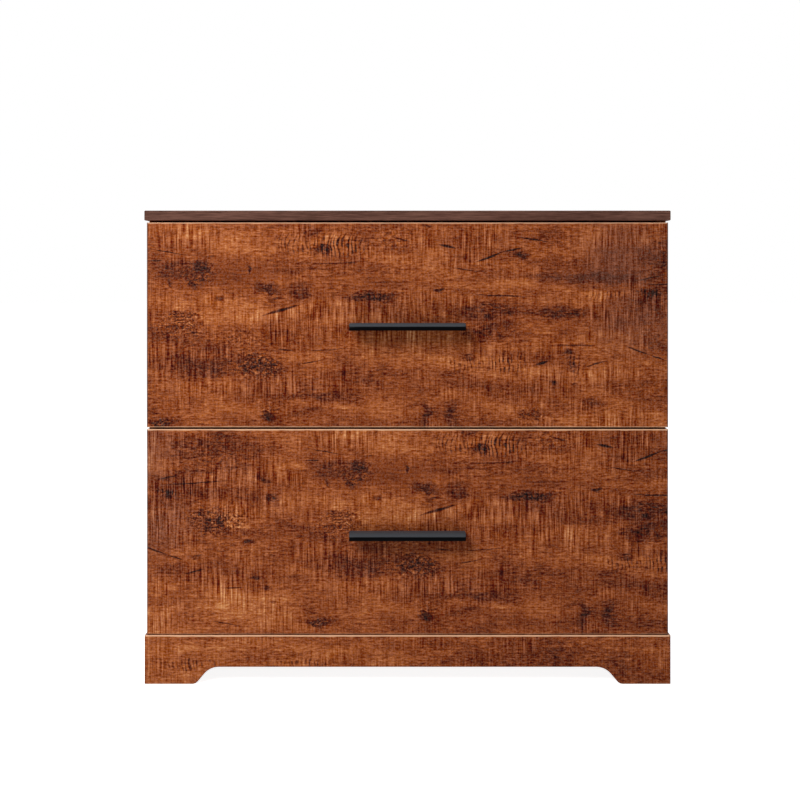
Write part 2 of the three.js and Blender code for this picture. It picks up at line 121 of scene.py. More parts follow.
# Lamps: side and place, in metres, and the point that they are turned to
LAMPS = {
    "key": (1.1, (-0.95, -1.65, 1.95)),
    "fill": (1.4, (2.2, -1.3, 1.0)),
    "overhead": (2.0, (0, 0.3, 2.6)),
    "rear": (1.6, (-0.9, 2.0, 1.5)),
}
LAMP_AIM = (0, 0, 0.4)

# Width of the camera's sensor, in millimetres
SENSOR_WIDTH = 36

# Faces that meet at less than this angle are shaded as one smooth surface
SMOOTH_ANGLE = math.radians(35)

# A patch of the print begins and is full at these shares of its half width and half height
PATCH_EDGE = 1.25
PATCH_CORE = 0.25

# Dark patches of the print: middle (u, v), half width, half height, depth
PATCHES = (
    (-200, 38, 90, 30, 0.045), (100, -38, 90, 35, 0.05), (350, -115, 50, 35, 0.07),
    (-316, 87, 17, 10, 0.26), (-350, 86, 50, 20, 0.22), (-325, 62, 10, 8, 0.36),
    (-220, 57, 20, 14, 0.28), (-205, 46, 14, 18, 0.26), (-163, 54, 26, 18, 0.26),
    (-55, 44, 42, 11, 0.34), (-224, -63, 40, 20, 0.18), (-315, -63, 75, 26, 0.26),
    (-373, -148, 26, 11, 0.36), (-214, -139, 15, 8, 0.32), (-145, -108, 80, 8, 0.18),
    (-242, 85, 4, 4, 0.50), (-360, 64, 5, 4, 0.35), (-280, 39, 8, 5, 0.35),
    (28, 149, 9, 4, 0.45), (177, 106, 14, 7, 0.42), (48, 57, 10, 3, 0.6),
    (128, 22, 60, 15, 0.30), (236, 18, 52, 12, 0.34), (135, -11, 62, 16, 0.26),
    (367, 50, 15, 8, 0.22), (277, 71, 100, 8, 0.26), (242, -46, 12, 8, 0.34),
    (253, -66, 7, 11, 0.30), (223, -88, 7, 5, 0.40), (255, -85, 7, 4, 0.40),
    (282, -120, 24, 10, 0.30), (185, -137, 28, 16, 0.18), (28, -140, 9, 24, 0.26),
    (66, -134, 12, 26, 0.26), (-145, 144, 26, 11, 0.26), (-131, 114, 17, 9, 0.40),
    (95, -49, 14, 8, 0.40), (440, 6, 40, 24, 0.22), (490, -29, 12, 6, 0.36),
    (411, -47, 13, 7, 0.35), (527, 42, 16, 7, 0.45), (521, 65, 10, 5, 0.30),
    (505, -81, 11, 4, 0.35), (521, -98, 9, 4, 0.35), (530, -116, 9, 4, 0.30),
    (345, 110, 80, 50, 0.10), (355, -5, 75, 45, 0.12), (230, 125, 40, 20, 0.08), (430, 108, 80, 40, 0.26),
    (-60, 80, 60, 14, 0.06), (60, -100, 90, 30, 0.06), (130, 297, 170, 70, 0.20), (-40, 297, 40, 14, 0.10),
    (455, 10, 130, 130, 0.15), (345, 30, 70, 60, 0.06),
)

# Burls, where the print is speckled: middle (u, v), half width, half height, strength, as in the next tables
BURLS = (
    (-344, 3, 44, 30, 1.0), (-55, 44, 40, 12, 0.8), (-228, -63, 48, 26, 1.0), (-375, -148, 30, 13, 0.9),
    (185, -137, 32, 18, 0.9), (440, 6, 44, 26, 0.9), (-20, 128, 55, 22, 0.5), (-250, -20, 60, 26, 0.5),
    (-205, -128, 26, 14, 0.7), (-318, 78, 34, 26, 0.8), (367, 50, 26, 10, 0.6), (473, 6, 26, 16, 0.7),
)

# Pale patches, and the curls among them that carry a row of leaning strokes
PALES = (
    (-128, 120, 80, 24, 0.16), (-239, 114, 60, 14, 0.12), (-33, -52, 60, 17, 0.12),
    (-112, -123, 110, 8, 0.14), (100, -57, 85, 16, 0.18), (300, 47, 40, 9, 0.14), (473, 6, 24, 16, 0.18),
    (-300, 28, 60, 14, 0.08), (200, -80, 120, 16, 0.10), (20, 115, 80, 26, 0.06), (-265, 4, 60, 34, 0.08),
    (160, 62, 60, 10, 0.08), (-60, -135, 70, 16, 0.10), (500, 300, 120, 40, 0.10), (496, -125, 95, 36, 0.18),
    (455, -5, 85, 50, 0.07),
)
CURLS = (
    (-100, 118, 52, 22, 1.0), (-170, 122, 40, 18, 0.6), (150, -57, 40, 15, 1.0), (85, -60, 40, 15, 0.6),
    (300, 47, 36, 9, 0.8), (367, 50, 20, 10, 1.0), (255, -62, 16, 20, 0.6), (490, 289, 60, 9, 0.7),
    (-310, 291, 60, 7, 0.7),
)

# Smooth patches with hardly any saw marks
SMOOTHS = (
    (-270, 75, 130, 26, 1.0), (-60, 68, 110, 12, 0.9), (200, -12, 90, 18, 0.7), (-60, -140, 130, 22, 0.6),
    (-260, -135, 70, 18, 0.6), (180, 60, 90, 14, 0.6),
)

# Patches where the saw marks are strongest
SAWS = (
    (-110, 5, 170, 36, 0.6), (-330, -60, 75, 40, 0.3), (60, 118, 110, 34, 0.45), (345, 20, 60, 62, 0.8),
    (330, 120, 75, 40, 0.6), (-330, 132, 75, 25, 0.25), (250, -85, 150, 30, 0.2), (480, 60, 90, 60, 0.6),
    (470, -85, 80, 40, 0.6), (30, 30, 90, 30, 0.3), (-150, -90, 110, 26, 0.45),
)

# Greyer patches with a purple cast
GREYS = ((325, 112, 72, 52, 1.0), (345, 0, 80, 55, 0.8), (277, 72, 110, 16, 0.6), (-345, 88, 60, 20, 0.15))

# Cracks: from (u, v), to (u, v), half width, depth
CRACKS = (
    (-229, 12, -156, 33, 3.4, 0.50), (-394, 116, -334, 106, 1.3, 0.45), (-396, 97, -370, 98, 1.6, 0.40),
    (-203, -36, -165, -40, 1.5, 0.36), (-165, -41, -80, -35, 1.2, 0.36), (-171, -61, -119, -52, 1.6, 0.40),
    (45, 124, 76, 116, 3.0, 0.50), (100, 94, 148, 112, 2.2, 0.60), (142, 111, 180, 118, 1.8, 0.55),
    (159, 136, 222, 125, 1.8, 0.48), (60, 89, 112, 80, 1.4, 0.40), (93, 47, 200, 42, 2.2, 0.36),
    (349, 67, 392, 76, 1.4, 0.50), (192, -62, 217, -54, 3.2, 0.50), (268, -65, 305, -54, 2.0, 0.45),
    (328, -31, 372, -47, 1.9, 0.60), (366, -45, 397, -55, 1.7, 0.55), (210, -31, 296, -31, 1.8, 0.32),
    (343, 59, 484, 68, 1.5, 0.34), (451, -96, 490, -96, 1.8, 0.40), (393, -76, 429, -67, 1.8, 0.42),
    (432, -146, 484, -155, 1.5, 0.40), (-150, 92, -60, 96, 1.6, 0.25), (-30, 135, 10, 126, 2.0, 0.35),
)


def linear(red, green, blue):
    """The scene colour of a colour written in 0 to 255 screen values."""
    screen = np.array((red, green, blue)) / 255
    low = screen / 12.92
    high = ((screen + 0.055) / 1.055) ** 2.4
    return tuple(float(c) for c in np.where(screen <= 0.04045, low, high))


def colour(name, description, *screen):
    """A colour setting whose default is given in screen values."""
    return FloatVectorProperty(
        name=name, description=description, default=linear(*screen), size=3, min=0, max=1, subtype="COLOR"
    )


def length(name, description, millimetres):
    """A length setting whose default is given in millimetres."""
    return FloatProperty(
        name=name, description=description, default=millimetres * MM, min=0, subtype="DISTANCE", unit="LENGTH"
    )


def share(name, description, default):
    """A setting between nothing and all."""
    return FloatProperty(name=name, description=description, default=default, min=0, max=1, subtype="FACTOR")


def power(name, description, watts):
    """A lamp's power."""
    return FloatProperty(name=name, description=description, default=watts, unit="POWER")


class PrintSettings(PropertyGroup):
    """Colours and strengths of the wood print."""

    knot: colour("Knot", "Darkest colour of the print, in knots and cracks", 30, 14, 8)
    shade: colour("Shade", "Dark bands of the print", 78, 34, 15)
    body: colour("Body", "Middle colour of the print", 128, 65, 33)
    glow: colour("Glow", "Light bands of the print", 168, 97, 54)
    pale: colour("Pale", "Lightest colour of the print, in curls", 214, 158, 104)
    # The next colour is the bare edge and also a painted highlight along it
    arris_and_highlight: colour("Arris", "Bare line along a trimmed edge", 214, 170, 136)
    end: colour("End", "Dark line at the ends of a front", 58, 44, 42)
    band_dark: colour("Edge Band Dark", "Dark streaks of the top's edge band", 66, 41, 33)
    band_light: colour("Edge Band Light", "Light streaks of the top's edge band", 104, 72, 61)
    saw: share("Saw Marks", "Contrast of the upright saw marks", 0.215)
    grain: share("Grain", "Contrast of the fine grain along the board", 0.12)
    fibre: share("Fibre", "Contrast of the finest grain", 0.25)
    grey: colour("Grey", "Cast of the greyer patches", 112, 70, 56)
    speckle: share("Speckle", "Contrast of the burl speckle", 0.6)
    dust: share("Dust", "Contrast of the pale dust and dark pores", 0.04)


class BoxSettings(PropertyGroup):
    """Colours of the drawer boxes and thin boards."""

    foil_dark: colour("Foil Dark", "Dark grain of the drawer box foil", 66, 37, 25)
    foil_light: colour("Foil Light", "Light grain of the drawer box foil", 112, 68, 46)
    fibre_dark: colour("Hardboard Dark", "Dark fibres of the hardboard", 84, 56, 39)
    fibre_light: colour("Hardboard Light", "Light fibres of the hardboard", 138, 100, 74)


class MetalSettings(PropertyGroup):
    """Colours of the pulls, the slides and the other metal and plastic."""

    black_coat: colour("Black Coat", "Coated pulls and file rails", 4, 4, 5)
    # The next colour is a painted highlight on the pulls where they look up
    highlight_painted: colour("Painted Highlight", "Pulls where they look up and are rubbed", 59, 61, 65)
    zinc: colour("Zinc", "Plated steel of slides, screws and cams", 196, 199, 203)
    zinc_shade: colour("Zinc Shade", "Duller streaks of the plating", 150, 154, 160)
    ball_steel: colour("Ball Steel", "Cages and balls", 140, 143, 148)
    plastic: colour("Black Plastic", "Release levers", 24, 24, 25)
    bumper: colour("Bumper", "Rubber dots behind the drawer fronts", 186, 178, 168)


class PullSettings(PropertyGroup):
    """Sizes of the finger pulls."""

    wall: length("Wall", "Thickness of the pull's section", 3)
    bend: length("Bend", "Radius of the section's outer corners", 9)
    rim: length("Rim", "Rounding of the section's two lower edges", 0.7)
    ease: length("End Ease", "Rounding of the pull's ends", 0.8)


class FittingSettings(PropertyGroup):
    """Sizes of screws, cams and bumpers."""

    slide_screw: length("Slide Screw Head", "Radius of the heads that hold the slides", 3.6)
    slide_screw_height: length("Slide Screw Height", "Height of those heads", 1.3)
    pull_screw: length("Pull Screw Head", "Radius of the heads that hold the pulls", 4)
    cam: length("Cam", "Radius of the cam fittings in the drawer sides", 7.5)
    cam_height: length("Cam Height", "How far a cam stands out of its board", 0.8)
    bumper: length("Bumper", "Radius of a bumper dot", 5)
    bumper_height: length("Bumper Height", "Thickness of a bumper dot", 1.7)


class StageSettings(PropertyGroup):
    """Camera, floor and lamps."""

    camera_height: length("Camera Height", "Camera above the floor", 610)
    camera_distance: length("Camera Distance", "Camera in front of the plinth's face", 1660)
    view_width: length("View Width", "Width of the picture at the plinth's face", 1216)
    view_middle: length("View Middle", "Height of the picture's middle above the floor", 432)
    view_side: length("View Side", "Picture's middle left of the cabinet's middle", 11.4)
    floor: colour("Floor", "Pale floor", 236, 236, 236)
    floor_size: length("Floor Size", "Length of the floor's side", 60000)
    floor_gap: length("Floor Gap", "Floor below the feet, so that the two never share a plane", 0.2)
    world: share("World Light", "Strength of the even light from all round", 0.15)
    floor_glow: share("Floor Glow", "Light that the floor adds where it is seen, to be white", 0.9)
    key: power("Key Lamp", "Power of the large lamp at the left", 55)
    fill: power("Fill Lamp", "Power of the lamp at the right", 7)
    overhead: power("Overhead Lamp", "Power of the lamp above", 26)
    rear: power("Rear Lamp", "Power of the lamp behind", 40)


class CabinetSettings(PropertyGroup):
    """All settings of the cabinet."""

    print: PointerProperty(type=PrintSettings, name="Print", description="Wood print")
    box: PointerProperty(type=BoxSettings, name="Drawer Boxes", description="Foil and hardboard")
    metal: PointerProperty(type=MetalSettings, name="Metal", description="Metal and plastic")
    pull: PointerProperty(type=PullSettings, name="Pulls", description="Finger pulls")
    fitting: PointerProperty(type=FittingSettings, name="Fittings", description="Small fittings")
    stage: PointerProperty(type=StageSettings, name="Stage", description="Camera, floor and lamps")


# Shader nodes


class Wiring:
    """Adds nodes to a tree. A socket given as an input is linked, any other value is set on the socket."""

    def __init__(self, tree):
        self.tree = tree

    def node(self, kind, inputs=(), **settings):
        """A new node, right of the last one, with its settings and its inputs by name or number."""
        node = self.tree.nodes.new(kind)
        node.location.x = 200 * len(self.tree.nodes)
        for setting, value in settings.items():
            setattr(node, setting, value)
        for key, value in dict(inputs).items():
            self.feed(node.inputs[key], value)
        return node

    def feed(self, socket, value):
        """Links a socket into an input, or sets a plain value there."""
        if isinstance(value, bpy.types.NodeSocket):
            self.tree.links.new(value, socket)
        elif socket.type == "RGBA" and len(value) == 3:
            socket.default_value = (*value, 1)
        else:
            socket.default_value = value

    def math(self, operation, *values, clamp=False):
        return self.node("ShaderNodeMath", enumerate(values), operation=operation, use_clamp=clamp).outputs[0]

    def add(self, a, b):
        return self.math("ADD", a, b)

    def less(self, a, b):
        return self.math("SUBTRACT", a, b)

    def times(self, a, b):
        return self.math("MULTIPLY", a, b)

    def times_add(self, a, b, c, clamp=False):
        return self.math("MULTIPLY_ADD", a, b, c, clamp=clamp)

    def layers(self, start, *pairs):
        """The start plus each value times its amount, kept between 0 and 1."""
        *most, last = pairs
        for value, amount in most:
            start = self.times_add(value, amount, start)
        return self.times_add(*last, start, clamp=True)

    def vector(self, operation, *values):
        node = self.node("ShaderNodeVectorMath", enumerate(values), operation=operation)
        return node.outputs["Value" if operation == "LENGTH" else "Vector"]

    def split(self, vector):
        return self.node("ShaderNodeSeparateXYZ", {0: vector}).outputs

    def millimetres(self, vector):
        inputs = {"Vector": vector, "Scale": 1 / MM}
        return self.node("ShaderNodeVectorMath", inputs, operation="SCALE").outputs[0]

    def combine(self, x, y, z=0.0):
        return self.node("ShaderNodeCombineXYZ", {0: x, 1: y, 2: z}).outputs[0]

    def span(self, value, low, high, bottom=0.0, top=1.0, ease="SMOOTHSTEP"):
        """The value taken from between low and high to between bottom and top."""
        inputs = {0: value, 1: low, 2: high, 3: bottom, 4: top}
        return self.node("ShaderNodeMapRange", inputs, interpolation_type=ease, clamp=True).outputs[0]

    def noise(self, vector, stretch, detail=2.0, roughness=0.5):
        """Noise whose features are about 1/stretch long on each axis, centred on 0 and about -1 to 1."""
        placed = self.vector("MULTIPLY", vector, stretch)
        inputs = {"Vector": placed, "Scale": 1.0, "Detail": detail, "Roughness": roughness}
        raw = self.node("ShaderNodeTexNoise", inputs, noise_dimensions="3D").outputs[0]
        return self.times_add(raw, 4.0, -2.0)

    def ripple(self, vector, stretch, size, detail=1.0):
        """The vector shifted by coloured noise of the given size."""
        placed = self.vector("MULTIPLY", vector, stretch)
        cloud = self.node("ShaderNodeTexNoise", {"Vector": placed, "Scale": 1.0, "Detail": detail}).outputs[1]
        shift = self.vector("MULTIPLY_ADD", cloud, (2 * size, 2 * size, 0), (-size, -size, 0))
        return self.vector("ADD", vector, shift)

    def mix(self, factor, a, b, blend="MIX"):
        inputs = {0: factor, 6: a, 7: b}
        kept = {"data_type": "RGBA", "blend_type": blend, "clamp_result": True}
        return self.node("ShaderNodeMix", inputs, **kept).outputs[2]

    def ramp(self, value, stops):
        """Colour ramp through (place, colour) stops."""
        node = self.node("ShaderNodeValToRGB", {0: value})
        elements = node.color_ramp.elements
        for _ in stops[2:]:
            elements.new(1.0)
        for element, (place, shown) in zip(elements, stops):
            element.position = place
            element.color = (*shown, 1)
        return node.outputs[0]

    def placed(self, tree, named):
        """The outputs of a node group placed with its inputs by name."""
        return self.node("ShaderNodeGroup", named, node_tree=tree).outputs


def shader_group(name, build, inputs, outputs):
    """A shader node group made once. build gets a Wiring and the input sockets and gives the outputs."""
    made = bpy.data.node_groups.get(name)
    if made:
        return made
    tree = bpy.data.node_groups.new(name, "ShaderNodeTree")
    for label, kind in inputs.items():
        tree.interface.new_socket(label, in_out="INPUT", socket_type="NodeSocket" + kind)
    for label, kind in outputs.items():
        tree.interface.new_socket(label, in_out="OUTPUT", socket_type="NodeSocket" + kind)
    wiring = Wiring(tree)
    given = tree.nodes.new("NodeGroupInput").outputs
    wiring.node("NodeGroupOutput", build(wiring, given))
    return tree


def patch_group():
    """Adds an oval patch to a sum: depth times a smooth fall from its middle to its edge.

    The place takes in none of the sum, but waits for it. A long chain of patches is then worked out
    one by one, and the renderer never holds more values than it has room for.
    """

    def build(w, given):
        place = w.vector("MULTIPLY_ADD", given["Sum"], (0, 0, 0), given["Vector"])
        away = w.vector("SUBTRACT", place, given["Middle"])
        reach = w.vector("LENGTH", w.vector("DIVIDE", away, given["Half Size"]))
        fall = w.span(reach, PATCH_EDGE, PATCH_CORE)
        return {"Sum": w.times_add(fall, given["Depth"], given["Sum"])}

    inputs = {"Vector": "Vector", "Middle": "Vector", "Half Size": "Vector", "Depth": "Float", "Sum": "Float"}
    return shader_group("Print Patch", build, inputs, {"Sum": "Float"})


def crack_group():
    """Adds a crack to a sum: a line that is widest in its middle and runs out to points at its ends."""

    def build(w, given):
        away = w.vector("SUBTRACT", given["Vector"], given["Middle"])
        inputs = {"Vector": away, "Angle": given["Turn"]}
        turned = w.node("ShaderNodeVectorRotate", inputs, rotation_type="Z_AXIS", invert=True)
        x, y, _ = w.split(w.vector("DIVIDE", turned.outputs[0], given["Half Size"]))
        body = w.less(1.0, w.times(x, x))
        line = w.span(w.less(body, w.math("ABSOLUTE", y)), 0.0, 0.8)
        return {"Sum": w.times_add(line, given["Depth"], given["Sum"])}

    inputs = {
        "Vector": "Vector", "Middle": "Vector", "Turn": "Float", "Half Size": "Vector", "Depth": "Float",
        "Sum": "Float",
    }
    return shader_group("Print Crack", build, inputs, {"Sum": "Float"})


def sum_patches(w, place, patches):
    """The sum of a list of oval patches at a place."""
    total = 0.0
    for u, v, half_width, half_height, depth in patches:
        named = {
            "Vector": place,
            "Middle": (u, v, 0),
            "Half Size": (half_width, half_height, 1),
            "Depth": depth,
            "Sum": total,
        }
        total = w.placed(patch_group(), named)[0]
    return total


def sum_cracks(w, place, cracks):
    """The sum of a list of cracks at a place."""
    total = 0.0
    for u0, v0, u1, v1, half_width, depth in cracks:
        run, rise = u1 - u0, v1 - v0
        named = {
            "Vector": place,
            "Middle": ((u0 + u1) / 2, (v0 + v1) / 2, 0),
            "Turn": math.atan2(rise, run),
            "Half Size": (math.hypot(run, rise) / 2, half_width, 1),
            "Depth": depth,
            "Sum": total,
        }
        total = w.placed(crack_group(), named)[0]
    return total


def sawn_print_group(settings):
    """Rough-sawn wood print at a place on the sheet, in millimetres.

    The tone starts at the middle and is lifted or lowered by broad clouds, saw marks across the board,
    grain along it, patches, burls, curls and cracks. A colour ramp turns the tone into the print's colour,
    and dust and pores then lift and lower its red, green and blue alike.
    """

    def build(w, given):
        sheet = given["Vector"]
        u, v, _ = w.split(sheet)
        wrapped = w.combine(w.math("WRAP", u, PRINT_START + PRINT_PERIOD, PRINT_START), v)
        waved = w.ripple(wrapped, (0.03, 0.05, 1), size=11.0)
        loose = w.ripple(waved, (0.12, 0.2, 1), size=4.0, detail=2.0)
        line = w.ripple(wrapped, (0.05, 0.05, 1), size=1.6, detail=2.0)

        broad = w.noise(sheet, (0.004, 0.018, 1), detail=2.0)
        cloud = w.noise(sheet, (0.02, 0.05, 1), detail=3.0)
        mottle = w.noise(sheet, (0.06, 0.13, 1), detail=2.0, roughness=0.6)
        ragged = w.noise(loose, (0.1, 0.24, 1), detail=3.0, roughness=0.8)
        patches = w.times(sum_patches(w, loose, PATCHES), w.times_add(ragged, 0.95, 0.76))
        pales = sum_patches(w, loose, PALES)
        burls, curls, smooth, greys = (
            w.math("MINIMUM", sum_patches(w, loose, table), 1.0) for table in (BURLS, CURLS, SMOOTHS, GREYS)
        )
        cracks = w.math("MINIMUM", sum_cracks(w, line, CRACKS), 0.6)

        zone = w.noise(sheet, (0.012, 0.024, 1), detail=2.0)
        marked = w.add(sum_patches(w, loose, SAWS), w.span(zone, -0.5, 0.7, bottom=0.15, top=0.7))
        sawn = w.times(w.math("MINIMUM", marked, 1.0), w.times_add(smooth, -0.85, 1.0))
        along = w.times_add(sawn, -0.8, 1.0)
        coarse_saw = w.noise(sheet, (0.17, 0.012, 1), detail=1.0, roughness=0.6)
        fine_saw = w.noise(sheet, (0.33, 0.018, 1), detail=1.0, roughness=0.9)
        saw = w.times(w.times_add(coarse_saw, 0.4, w.times(fine_saw, 1.35)), sawn)
        grain = w.times(w.noise(sheet, (0.018, 0.30, 1), detail=2.0, roughness=0.65), along)
        fleck = w.noise(sheet, (0.1, 0.36, 1), detail=2.0, roughness=0.75)
        hidden = w.math("MAXIMUM", smooth, w.times(sawn, 0.9))
        fibre = w.times(fleck, w.times_add(hidden, -0.6, 1.0))
        crumpled = w.ripple(sheet, (0.1, 0.1, 1), size=6.0)
        speckle = w.noise(crumpled, (0.2, 0.3, 1), detail=2.0, roughness=0.75)

        bowed = w.times_add(w.math("SINE", w.times(v, 0.11)), 3.0, u)
        lean = w.times_add(v, -0.22, bowed)
        inputs = {
            "Vector": w.combine(lean, w.times(v, 0.35)),
            "Scale": 0.05,
            "Distortion": 7.0,
            "Detail": 2.0,
            "Detail Scale": 1.6,
        }
        strokes = w.node("ShaderNodeTexWave", inputs, wave_type="BANDS", bands_direction="X").outputs[1]
        broken = w.span(w.noise(loose, (0.09, 0.11, 1), detail=2.0), -0.8, 0.3)
        stroke = w.times(w.span(strokes, 0.45, 0.9), broken)

        pits = w.times(w.times_add(speckle, 0.9, -0.15), burls)
        tone = w.layers(
            MIDDLE_TONE, (broad, 0.15), (cloud, 0.10), (mottle, 0.065), (saw, given["Saw"]),
            (grain, given["Grain"]), (fibre, given["Fibre"]), (pales, 1), (patches, -1),
            (pits, given["Speckle"]), (w.times(stroke, curls), -0.5), (cracks, -1), (given["Lift"], 1),
        )
        stops = (
            (0.0, settings.knot), (0.27, settings.shade), (0.52, settings.body), (0.74, settings.glow),
            (1.0, settings.pale),
        )
        shown = w.ramp(tone, stops)
        shown = w.mix(w.times(greys, GREY_CAST), shown, settings.grey)
        grit = w.noise(sheet, (0.36, 0.36, 1), detail=2.0, roughness=0.8)
        dust = w.times_add(saw, 0.5, w.times_add(fibre, 0.4, grit))
        pores = w.times_add(w.times(dust, given["Dust"]), 0.5, 0.5)
        shown = w.mix(1.0, shown, pores, "LINEAR_LIGHT")
        height = w.times_add(saw, 0.25, w.times(grain, 0.2))
        height = w.less(height, w.add(cracks, w.times(patches, 0.4)))
        roughness = w.span(tone, 0.1, 0.9, bottom=0.52, top=0.40, ease="LINEAR")
        return {"Color": shown, "Height": height, "Roughness": roughness}

    amounts = ("Saw", "Grain", "Fibre", "Speckle", "Dust", "Lift")
    inputs = {"Vector": "Vector", **dict.fromkeys(amounts, "Float")}
    outputs = {"Color": "Color", "Height": "Float", "Roughness": "Float"}
    return shader_group("Sawn Print", build, inputs, outputs)


def face_group():
    """Flat place on a board's face, in millimetres: across and up, whichever way the face looks, and a mask
    of the faces that look up or down."""

    def build(w, given):
        x, y, z = w.split(w.millimetres(given["Vector"]))
        normal = w.split(w.vector("ABSOLUTE", given["Normal"]))
        looks_sideways = w.math("GREATER_THAN", normal[0], FACE_LEAN)
        looks_up = w.math("GREATER_THAN", normal[2], FACE_LEAN)
        across = w.times_add(w.less(y, x), looks_sideways, x)
        up = w.times_add(w.less(y, z), looks_up, z)
        deep = w.times(w.add(looks_sideways, looks_up), FACE_SHIFT)
        return {"Place": w.combine(across, up, deep), "Up": looks_up}

    inputs = {"Vector": "Vector", "Normal": "Vector"}
    return shader_group("Board Face", build, inputs, {"Place": "Vector", "Up": "Float"})


def arris_group():
    """Masks along the edges of an upright board: bare line at the top, at the bottom, and dark ends."""

    def build(w, given):
        x, y, z = w.split(given["Vector"])
        worn = w.noise(w.millimetres(given["Vector"]), (0.05, 0.05, 0.05), detail=3.0)
        width = w.times(w.times_add(worn, 0.3, 1.0), given["Width"])
        edge = w.times(width, ARRIS_FADE)
        top = w.span(w.less(given["High"], z), edge, width)
        bottom = w.span(w.less(z, given["Low"]), edge, width)
        ends = w.span(w.less(given["Half Length"], w.math("ABSOLUTE", x)), edge, width)
        front = w.math("LESS_THAN", y, given["Face"])
        return {
            "Top": w.times(top, front), "Bottom": w.times(bottom, front), "Ends": w.times(ends, front),
        }

    inputs = {
        "Vector": "Vector", "Low": "Float", "High": "Float", "Half Length": "Float", "Width": "Float",
        "Face": "Float",
    }
    return shader_group("Arris Lines", build, inputs, {"Top": "Float", "Bottom": "Float", "Ends": "Float"})


def streak_group():
    """Two streaky values along a board or a strip: fine grain and broad clouds, each about -1 to 1."""

    def build(w, given):
        fine = w.noise(given["Vector"], (0.03, 0.5, 0.5), detail=3.0, roughness=0.7)
        broad = w.noise(given["Vector"], (0.006, 0.06, 0.06), detail=3.0)
        return {"Fine": fine, "Broad": broad}

    return shader_group("Streaks", build, {"Vector": "Vector"}, {"Fine": "Float", "Broad": "Float"})


def speck_group():
    """Fine specks and slow clouds of a moulded, coated or pressed surface, each about -1 to 1."""

    def build(w, given):
        scaled = w.millimetres(given["Vector"])
        return {
            "Specks": w.noise(scaled, (1.6, 1.6, 1.6), detail=2.0, roughness=0.7),
            "Clouds": w.noise(scaled, (0.03, 0.03, 0.03), detail=3.0),
        }

    return shader_group("Specks", build, {"Vector": "Vector"}, {"Specks": "Float", "Clouds": "Float"})


def new_material(name):
    """An empty material with its wiring, shader and texture coordinates."""
    material = bpy.data.materials.new(name)
    material.use_nodes = True
    material.node_tree.nodes.clear()
    w = Wiring(material.node_tree)
    coordinates = w.node("ShaderNodeTexCoord").outputs
    shader = w.node("ShaderNodeBsdfPrincipled")
    w.node("ShaderNodeOutputMaterial", {0: shader.outputs[0]})
    return material, w, coordinates, shader


def bump(w, shader, height, strength, distance):
    """Feeds a height, in parts of a distance, to the shader's normal."""
    inputs = {"Height": height, "Strength": strength, "Distance": distance}
    w.feed(shader.inputs["Normal"], w.node("ShaderNodeBump", inputs).outputs[0])


def cut_place(w, face, cut, upright):
    """The place on the sheet of print for a board cut from it, its grain upright or along the board."""
    turn = math.pi / 2 if upright else 0.0
    inputs = {"Vector": face["Place"], "Location": (*cut, 0), "Rotation": (0, 0, turn)}
    return w.node("ShaderNodeMapping", inputs).outputs[0]


def print_board(name, settings, cut, upright=False, lift=0.0, saw=1.0, painted_light=0.0):
    """Sawn-print board: the material, its wiring, texture coordinates, shader and face masks.
    A painted light gradient makes the board lighter by that tone at its left end and darker at its right."""
    material, w, coordinates, shader = new_material(name)
    face = w.placed(face_group(), {"Vector": coordinates["Object"], "Normal": coordinates["Normal"]})
    # Lift also carries painted light: lighter towards the board's left end, darker towards its right
    shown = w.placed(
        sawn_print_group(settings),
        {
            "Vector": cut_place(w, face, cut, upright),
            "Saw": settings.saw * saw,
            "Grain": settings.grain,
            "Fibre": settings.fibre,
            "Speckle": settings.speckle,
            "Dust": settings.dust,
            "Lift": w.times_add(w.split(face["Place"])[0], -painted_light / PAINTED_LIGHT_REACH, lift),
        },
    )
    w.feed(shader.inputs["Base Color"], shown["Color"])
    w.feed(shader.inputs["Roughness"], shown["Roughness"])
    shader.inputs["Specular IOR Level"].default_value = PRINT_GLOSS
    bump(w, shader, shown["Height"], strength=0.35, distance=0.25 * MM)
    return material, w, coordinates, shader, face, shown


def front_material(name, node, settings, cut, strengths, lift=0.0, saw=1.0, painted_light=0.0):
    """Sawn-print board with its bare edge lines, partly painted highlight, along the top and bottom and dark
    ends.
    """
    low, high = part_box(node)
    top, bottom, ends = strengths
    material, w, coordinates, shader, _, shown = print_board(name, settings, cut, False, lift, saw, painted_light)
    lines = w.placed(
        arris_group(),
        {
            "Vector": coordinates["Object"],
            "Low": low.z,
            "High": high.z,
            "Half Length": high.x,
            "Width": ARRIS_WIDTH,
            "Face": low.y + ARRIS_DEPTH,
        },
    )
    # The pale line is the bare edge and partly a painted highlight where the edge catches light
    base = w.mix(w.times(lines["Top"], top), shown["Color"], settings.arris_and_highlight)
    base = w.mix(w.times(lines["Bottom"], bottom), base, settings.arris_and_highlight)
    base = w.mix(w.times(lines["Ends"], ends), base, settings.end)
    w.feed(shader.inputs["Base Color"], base)
    return material


def top_material(settings):
    """Print on the upper face, and a greyer edge band with fine streaks round the edges."""
    material, w, _, shader, face, shown = print_board("Top print", settings, TOP_CUT, lift=-0.04, saw=0.8)
    streaks = w.placed(streak_group(), {"Vector": face["Place"]})
    blend = w.layers(0.42, (streaks["Fine"], 0.8), (streaks["Broad"], 0.3))
    band = w.mix(blend, settings.band_dark, settings.band_light)
    w.feed(shader.inputs["Base Color"], w.mix(face["Up"], band, shown["Color"]))
    return material


